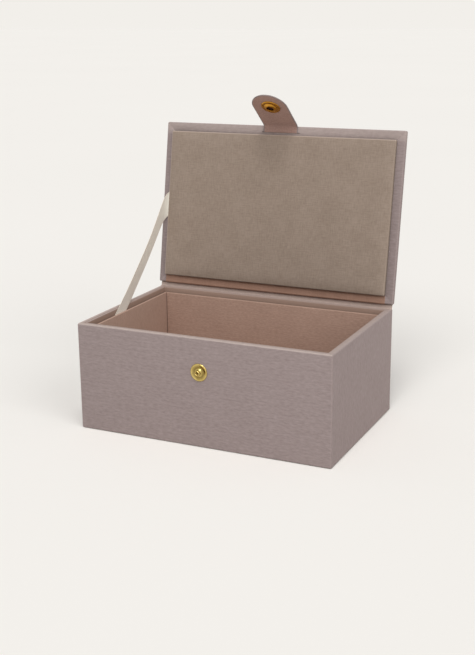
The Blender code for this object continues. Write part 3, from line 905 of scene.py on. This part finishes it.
def smoothStops(stops, between):
    # points on a smooth line through the stops
    stops = [Vector(stop) for stop in (stops[0], *stops, stops[-1])]
    rows = [stops[0]]
    for before, first, second, after in zip(stops, stops[1:], stops[2:], stops[3:]):
        for step in range(between):
            t = (step + 1) / between
            rows.append(((first * 2) + (second - before) * t
                         + (before * 2 - first * 5 + second * 4 - after) * t * t
                         + (first * 3 - before - second * 3 + after) * t * t * t) / 2)
    return rows


def makeHingeCloth():
    values = hingeValues
    back, top, corner = (boxValues[key] for key in ("halfDepth", "top", "round"))
    half = values["clothHalf"]
    path = [(back + point.x, top + point.y) for point in smoothStops(values["clothPath"], 3)]
    bm = stripMesh(path, half, values["clothCuts"])
    cutAcross(bm, 0, [side * (half - step) for side in (-1, 1) for step in values["endCuts"]])
    for vert in bm.verts:
        # both ends follow the rim down over its rounded corner
        beyond = max(abs(vert.co.x) - (boxValues["halfWidth"] - corner), 0.0)
        share = 1 - clamp((vert.co.z - top - values["followFrom"]) / values["followReach"])
        vert.co.z -= share * (corner - math.sqrt(corner * corner - beyond * beyond))
    thicken(bm, values["clothThick"])
    bm.normal_update()
    inner = bm.verts.layers.float.new("innerShadeTone")
    paintedShadingAndWear = bm.verts.layers.float.new("edgeShadingAndWearShare")
    for vert in bm.verts:
        # the side facing forward and up gets the painted tone and the painted highlight
        if vert.normal.y < vert.normal.z:
            vert[inner], vert[paintedShadingAndWear] = values["innerShadeTone"], values["paintedShadingAndWear"]
    made = makePiece("hingeCloth", bm, "velvetPile")
    start, end = ((0, back + y, top + z) for y, z in (values["turnStart"], values["turnEnd"]))
    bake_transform(made, "base", "lid", start, end)
    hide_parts("hinge_cloth")


# Ribbon stay

ribbonRoute = {
    "width": 0.0100, "thickness": 0.00025,
    "pocket": (-0.0850, -0.0108, 0.0697), "pocketHalf": 0.0071, "tail": 0.0140,
    # across, out of the lid, up the lid and half the slanting width, from the pad's edge to the rim
    "stops": [
        (-0.0853, 0.00045, 0.0582, 0.0090), (-0.0866, 0.00060, 0.0572, 0.0090),
        (-0.0874, 0.00130, 0.0561, 0.0090), (-0.0879, 0.00250, 0.0547, 0.0089),
        (-0.0881, 0.00500, 0.0520, 0.0086), (-0.0879, 0.01000, 0.0453, 0.0081),
        (-0.0874, 0.02000, 0.0313, 0.0073), (-0.0868, 0.03000, 0.0190, 0.0070),
        (-0.0862, 0.04000, 0.0077, 0.0070), (-0.0854, 0.05200, -0.0055, 0.0071),
    ],
    "between": 4,
}


def ribbonRows():
    # middle point and half slanting width of each row of the ribbon, smoothly through the stops
    values = ribbonRoute
    across, tail, half = values["pocket"][0], values["tail"], values["pocketHalf"]
    place = lidPlace.inverted() @ Vector(values["pocket"])
    last = values["stops"][-1]
    slope = (place.y - last[2]) / (place.z - last[1])
    stops = values["stops"] + [(across, place.z, place.y, half),
                               (across, place.z + tail, place.y + tail * slope, half)]
    rows = smoothStops(stops, values["between"])
    return [(lidPlace @ Vector((row[0], row[2], row[1])), row[3]) for row in rows]


def makeRibbon():
    values = ribbonRoute
    half, count = values["width"] / 2, values["between"]
    up = lidPlace.to_3x3() @ Vector((0, 1, 0))
    rows = ribbonRows()
    bm = bmesh.new()
    layer = bm.loops.layers.uv.new("cloth")
    verts = [bm.verts.new(rows[0][0] + up * rows[0][1] * side) for side in (-1, 1)]
    edges = [bm.edges.new(verts)]
    coords = {verts[0]: (-half, 0.0), verts[1]: (half, 0.0)}
    length = 0.0
    for before, after in zip(rows, rows[1:]):
        edges, grown = growEdges(bm, edges)
        length += (after[0] - before[0]).length
        moved = sorted(grown, key=lambda vert: vert.co.dot(up))
        for vert, side in zip(moved, (-1, 1)):
            vert.co = after[0] + up * after[1] * side
            coords[vert] = (half * side, length)
    for face in bm.faces:
        for loop in face.loops:
            loop[layer].uv = coords[loop.vert]
    thicken(bm, values["thickness"])
    made = makePiece("ribbonStay", bm, "satinRibbon")
    # it turns between the rim and the stop where it leaves the pad
    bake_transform(made, "base", "lid", rows[-count - 1][0], rows[4 * count][0])
    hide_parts("ribbon_stay")


# Strap

strapValues = {
    "side": -0.0006, "width": 0.0258, "half": 0.0010, "round": 0.0009, "tipSteps": 56,
    # root in the lid, bend, and the free part with its outward flick
    "rootLow": 0.1129, "rootLevel": -0.0004, "rootHalf": 0.0004, "flat": 0.00304,
    "bendRadius": 0.0040, "lean": 61.8,
    "free": 0.0346, "flickFrom": 0.024, "flick": 0.0006,
    "edgeThin": 0.30, "edgeReach": 0.0030,
    "hole": 0.00375, "holeSteps": 32, "socketAt": 0.02173,
    "bendCuts": 12, "freeCuts": 22, "cutsAcross": 23,
    "liningInset": 0.0006, "liningThick": 0.00030, "liningProud": 0.00004, "liningRound": 0.00012,
    "coreInset": 0.0012, "coreLow": -0.0004, "coreHigh": 0.0002, "coreRound": 0.00005,
    "coreHole": 0.0003, "coreFrom": 0.0010,  # wider than the socket's hole, and past the bend
}


def strapLengths():
    # lengths of the flat root, the bend and the free part, from the slit outward
    values = strapValues
    bend = values["bendRadius"] * math.radians(values["lean"])
    return values["flat"], bend, values["free"]


def strapPoint(distance, lift):
    # a point this far along the strap and this far out of its outer face, in the lid's place
    values = strapValues
    lean = math.radians(values["lean"])
    flat, bend, free = strapLengths()
    radius = values["bendRadius"]
    # the root is pressed thinner, and swells to the full strap over the bend
    full = clamp((distance - flat * 0.7) / (bend + flat * 0.3))
    full = full * full * (3 - 2 * full)
    lift = lift * (values["rootHalf"] + (values["half"] - values["rootHalf"]) * full) / values["half"]
    angle = min(max((distance - flat) / radius, 0.0), lean)
    y = values["rootLow"] + min(distance, flat) + radius * math.sin(angle)
    z = values["rootLevel"] + radius * (1 - math.cos(angle))
    rest = max(distance - flat - bend, 0.0)
    y += rest * math.cos(lean)
    z += rest * math.sin(lean)
    late = max(rest - values["flickFrom"], 0.0) / (free - values["flickFrom"])
    lift += values["flick"] * late * late
    return y + lift * math.sin(angle), z - lift * math.cos(angle)


def strapEdgeShare(co):
    # 0 at the strap's outline, 1 inside its pressed edge
    values = strapValues
    centre = sum(strapLengths()) - values["width"] / 2
    across = abs(co.x)
    if co.y > centre:
        across = math.hypot(co.x, co.y - centre)
    share = clamp((values["width"] / 2 - across) / values["edgeReach"])
    return share * (2 - share)


def strapMesh(inset, low, high, soft, hole, start=0.0):
    # flat outline with a round tip, rounded over its edges, a hole for the socket, then bent
    values = strapValues
    flat, bend, free = strapLengths()
    radius = values["width"] / 2 - inset
    centre = flat + bend + free - values["width"] / 2
    bm = bmesh.new()
    bmesh.ops.create_circle(bm, cap_ends=True, segments=values["tipSteps"], radius=radius)
    for vert in bm.verts:
        vert.co.y = start if vert.co.y < tiny else vert.co.y + centre
        vert.co.z = low
    grown = bmesh.ops.extrude_face_region(bm, geom=bm.faces[:])["geom"]
    bmesh.ops.translate(bm, vec=(0, 0, high - low), verts=pickVerts(grown))
    faceOut(bm)
    rims = [edge for edge in bm.edges if abs(edge.verts[0].co.z - edge.verts[1].co.z) < 1e-7
            and not all(vert.co.y < start + tiny for vert in edge.verts)]
    softEdges(bm, rims, soft)
    caps = sorted(bm.faces, key=lambda face: -face.calc_area())[:2]
    rings = []
    for cap in caps:
        level = cap.calc_center_median().z
        around = cap.edges[:]
        bmesh.ops.delete(bm, geom=[cap], context="FACES_ONLY")
        middle = Matrix.Translation((-values["side"], flat + bend + values["socketAt"], level))
        ring = bmesh.ops.create_circle(bm, segments=values["holeSteps"], radius=hole, matrix=middle)
        inner = list({edge for vert in ring["verts"] for edge in vert.link_edges})
        bmesh.ops.triangle_fill(bm, use_beauty=True, edges=around + inner)
        rings += inner
    bmesh.ops.bridge_loops(bm, edges=rings)
    cutAcross(bm, 1, spread(flat * 0.5, flat + bend, values["bendCuts"])
              + spread(flat + bend, flat + bend + free, values["freeCuts"]))
    cutAcross(bm, 0, spread(-values["width"] / 2, values["width"] / 2, values["cutsAcross"]))
    faceOut(bm)
    layCloth(bm)
    for vert in bm.verts:
        share = strapEdgeShare(vert.co)
        # the outer cloth is drawn down to the edge, and the inner face stays flat
        lift = vert.co.z
        if lift > -values["half"] * 0.9:
            thin = values["edgeThin"] + (1 - values["edgeThin"]) * share
            lift = -values["half"] + (lift + values["half"]) * thin
        y, z = strapPoint(vert.co.y, lift)
        vert.co = Vector((vert.co.x + values["side"], y, z))
    bmesh.ops.transform(bm, matrix=lidPlace, verts=bm.verts)
    faceOut(bm)
    return bm


def makeStrap():
    values = strapValues
    flat, bend = strapLengths()[:2]
    half, hole = values["half"], values["hole"]
    cover = strapMesh(0.0, -half, half, values["round"], hole)
    strap = makePiece("strapCover", cover, "strapVelvet")
    board = strapMesh(values["coreInset"], values["coreLow"], values["coreHigh"], values["coreRound"],
                      hole + values["coreHole"], flat + bend + values["coreFrom"])
    makePiece("strapCore", board, "pressedCard", "tab", ["tab_core"])
    lining = strapMesh(values["liningInset"], -half - values["liningProud"],
                       -half + values["liningThick"], values["liningRound"], hole)
    face = makePiece("strapLining", lining, "strapSuede")
    start = lidPlace @ Vector((0, *strapPoint(flat, 0)))
    end = lidPlace @ Vector((0, *strapPoint(flat + bend, 0)))
    for made in (strap, face):
        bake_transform(made, "lid", "tab", start, end)
    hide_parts("tab_cover", "tab_anchor")
    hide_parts("tab_lining")


# Press stud; the shapes' rows are shares of the radius and the height, and how much painted shade, dark
# reflection and patina the hollow gets

studValues = {
    "place": (0.0, -0.0585, 0.05105), "gap": 0.00003,
    "radius": 0.0059, "flange": 0.0006,
    "flangeShape": [(0.97, 0.00, 0.5), (1.00, 0.35, 0.2), (0.98, 0.85), (0.92, 1.20), (0.85, 1.15),
                    (0.77, 0.80, 0.25), (0.66, 0.45, 0.45), (0.56, 0.40, 0.7), (0.48, 0.75, 0.5),
                    (0.40, 1.25, 0.1)],
    "neck": 0.0016, "post": 0.0019, "length": 0.0025,
    "neckShape": [(1.10, 0.22, 0.3), (1.00, 0.34, 0.8), (1.00, 0.48, 0.8)],
    "postShape": [(0.97, 0.62, 0.1), (1.00, 0.72), (0.93, 0.88), (0.82, 0.97), (0.70, 1.00),
                  (0.58, 0.94, 0.2), (0.46, 0.70, 0.9), (0.00, 0.56, 1.0)],
    "rivetShank": 0.0015, "rivetHead": 0.0040, "rivetSeat": -0.0039, "rivetTall": 0.0009,
    "rivetShape": [(0.00, -1.00), (0.86, -1.00), (1.00, -0.55), (0.95, 0.00)],
}

socketValues = {
    "face": -0.0010, "rise": 0.0019, "radius": 0.0068, "bore": 0.0024, "barrel": 0.0036,
    "spring": 0.00025, "gap": 0.0003, "seat": 0.00003,
    "mouthShape": [(1.00, 0.22, 0.45), (1.04, 0.08, 0.3), (1.16, 0.00), (1.34, 0.02), (1.54, 0.14),
                   (1.74, 0.38), (1.92, 0.58), (2.06, 0.66, 0.15)],
    "brimShape": [(0.78, 0.62), (0.86, 0.58), (0.94, 0.64), (0.99, 0.78), (1.00, 0.88, 0.3)],
    "capRadius": 0.0070, "capRise": 0.0009, "capShank": 0.0022, "capSunk": 0.0005,
    "capShape": [(0.96, 0.00), (1.00, 0.25), (0.98, 0.50), (0.88, 0.72), (0.60, 0.93), (0.30, 1.00),
                 (0.00, 1.00)],
}


def makeStud():
    values = studValues
    gap, flange, tall = (values[key] for key in ("gap", "flange", "length"))
    outline = [(0, gap)] + scaled(values["flangeShape"], values["radius"], flange, gap)
    outline += scaled(values["neckShape"], values["neck"], tall, gap + flange)
    outline += scaled(values["postShape"], values["post"], tall, gap + flange)
    place = Matrix.Translation(values["place"]) @ Matrix.Rotation(math.pi / 2, 4, "X")
    makePiece("studFront", fanMesh(rounded(outline)), "studBrass", "base", ["snap_stud"],
              place, 40)
    seat, shank = values["rivetSeat"], values["rivetShank"]
    rivet = scaled(values["rivetShape"], values["rivetHead"], values["rivetTall"], seat)
    rivet += [(shank, seat), (shank, 0), (0, 0)]
    makePiece("studRivet", fanMesh(rivet, 40), "brushedSteel", "base", ["stud_rivet"],
              place, 40)


def socketPlace():
    # on the strap, with z out of the strap's outer face
    values = strapValues
    flat, bend = strapLengths()[:2]
    y, z = strapPoint(flat + bend + values["socketAt"], 0)
    turn = Matrix.Rotation(math.radians(values["lean"] + 180), 4, "X")
    return lidPlace @ Matrix.Translation((0, y, z)) @ turn


def makeSocket():
    values = socketValues
    rise, radius, bore, barrel = (values[key] for key in ("rise", "radius", "bore", "barrel"))
    inner, gap, wire, seat = (values[key] for key in ("face", "gap", "spring", "seat"))
    springRadius = bore + wire * 0.4
    groove = springRadius + wire + gap / 3
    grooveLow = inner - gap - wire
    grooveHigh = grooveLow + 4 * wire
    outline = scaled(values["mouthShape"], bore, rise, inner - rise)
    outline += scaled(values["brimShape"], radius, rise, inner - rise)
    # the bore and its groove get painted shade, with patina
    outline += [
        (radius * 0.97, inner - seat, 0.6), (barrel, inner - seat), (barrel, -inner),
        (bore, -inner, 0.6), (bore, grooveHigh, 0.6), (groove, grooveHigh, 1.0),
        (groove, grooveLow, 1.0), (bore, grooveLow, 0.6),
    ]
    place = socketPlace()
    makePiece("socketRing", fanMesh(outline), "socketBrass", "tab", ["snap_socket"],
              place, 40)
    level = (grooveLow + grooveHigh) / 2
    # the spring wire is painted dark: painted shade over its highlight
    ring = [(springRadius + wire * math.cos(angle), level + wire * math.sin(angle), 0.8)
            for angle in (math.pi * step / 5 for step in range(10))]
    makePiece("socketSpring", fanMesh(ring, 48), "brushedSteel", "tab", ["snap_spring"],
              place, None)
    low, shank = -inner + seat, values["capShank"]
    # the cap's end in the bore gets painted shade
    cap = [(0, -inner - values["capSunk"], 0.6), (shank, -inner - values["capSunk"], 0.6), (shank, low)]
    cap += scaled(values["capShape"], values["capRadius"], values["capRise"], low)
    makePiece("socketCap", fanMesh(cap), "socketBrass", "tab", ["snap_cap"], place, 40)


# Everything in order

makeCamera()
makeLight()
makeFloor()
print("camera, light and floor ready")

for makeGroup in (makeNapGroup, makeWeaveGroup, makeEdgeShadingAndWearGroup, makePatinaGroup, makeFibreGroup):
    makeGroup()
for makeFinish, table in ((makeClothFinish, clothValues), (makeMetalFinish, metalValues),
                          (makeFibreFinish, fibreValues),
                          (makeRibbonFinish, {"satinRibbon": ribbonValues})):
    for name, values in table.items():
        makeFinish(name, values)
print("finishes ready")

for name in ("bottom_board", "front_board", "back_board", "left_board", "right_board", "lid_board",
             "pad_board", "pad_foam"):
    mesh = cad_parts[name].data
    mesh.materials.clear()
    mesh.materials.append(finishes["padFoam" if name == "pad_foam" else "pressedCard"])

makeBaseWrap()
makePanels()
print("box wrapped and lined")
makeLidWrap()
makeLidPad()
print("lid wrapped and padded")
makeHingeLining()
makeHingeCloth()
makeRibbon()
print("hinge and ribbon laid")
makeStrap()
makeStud()
makeSocket()
print("strap and press stud fitted")
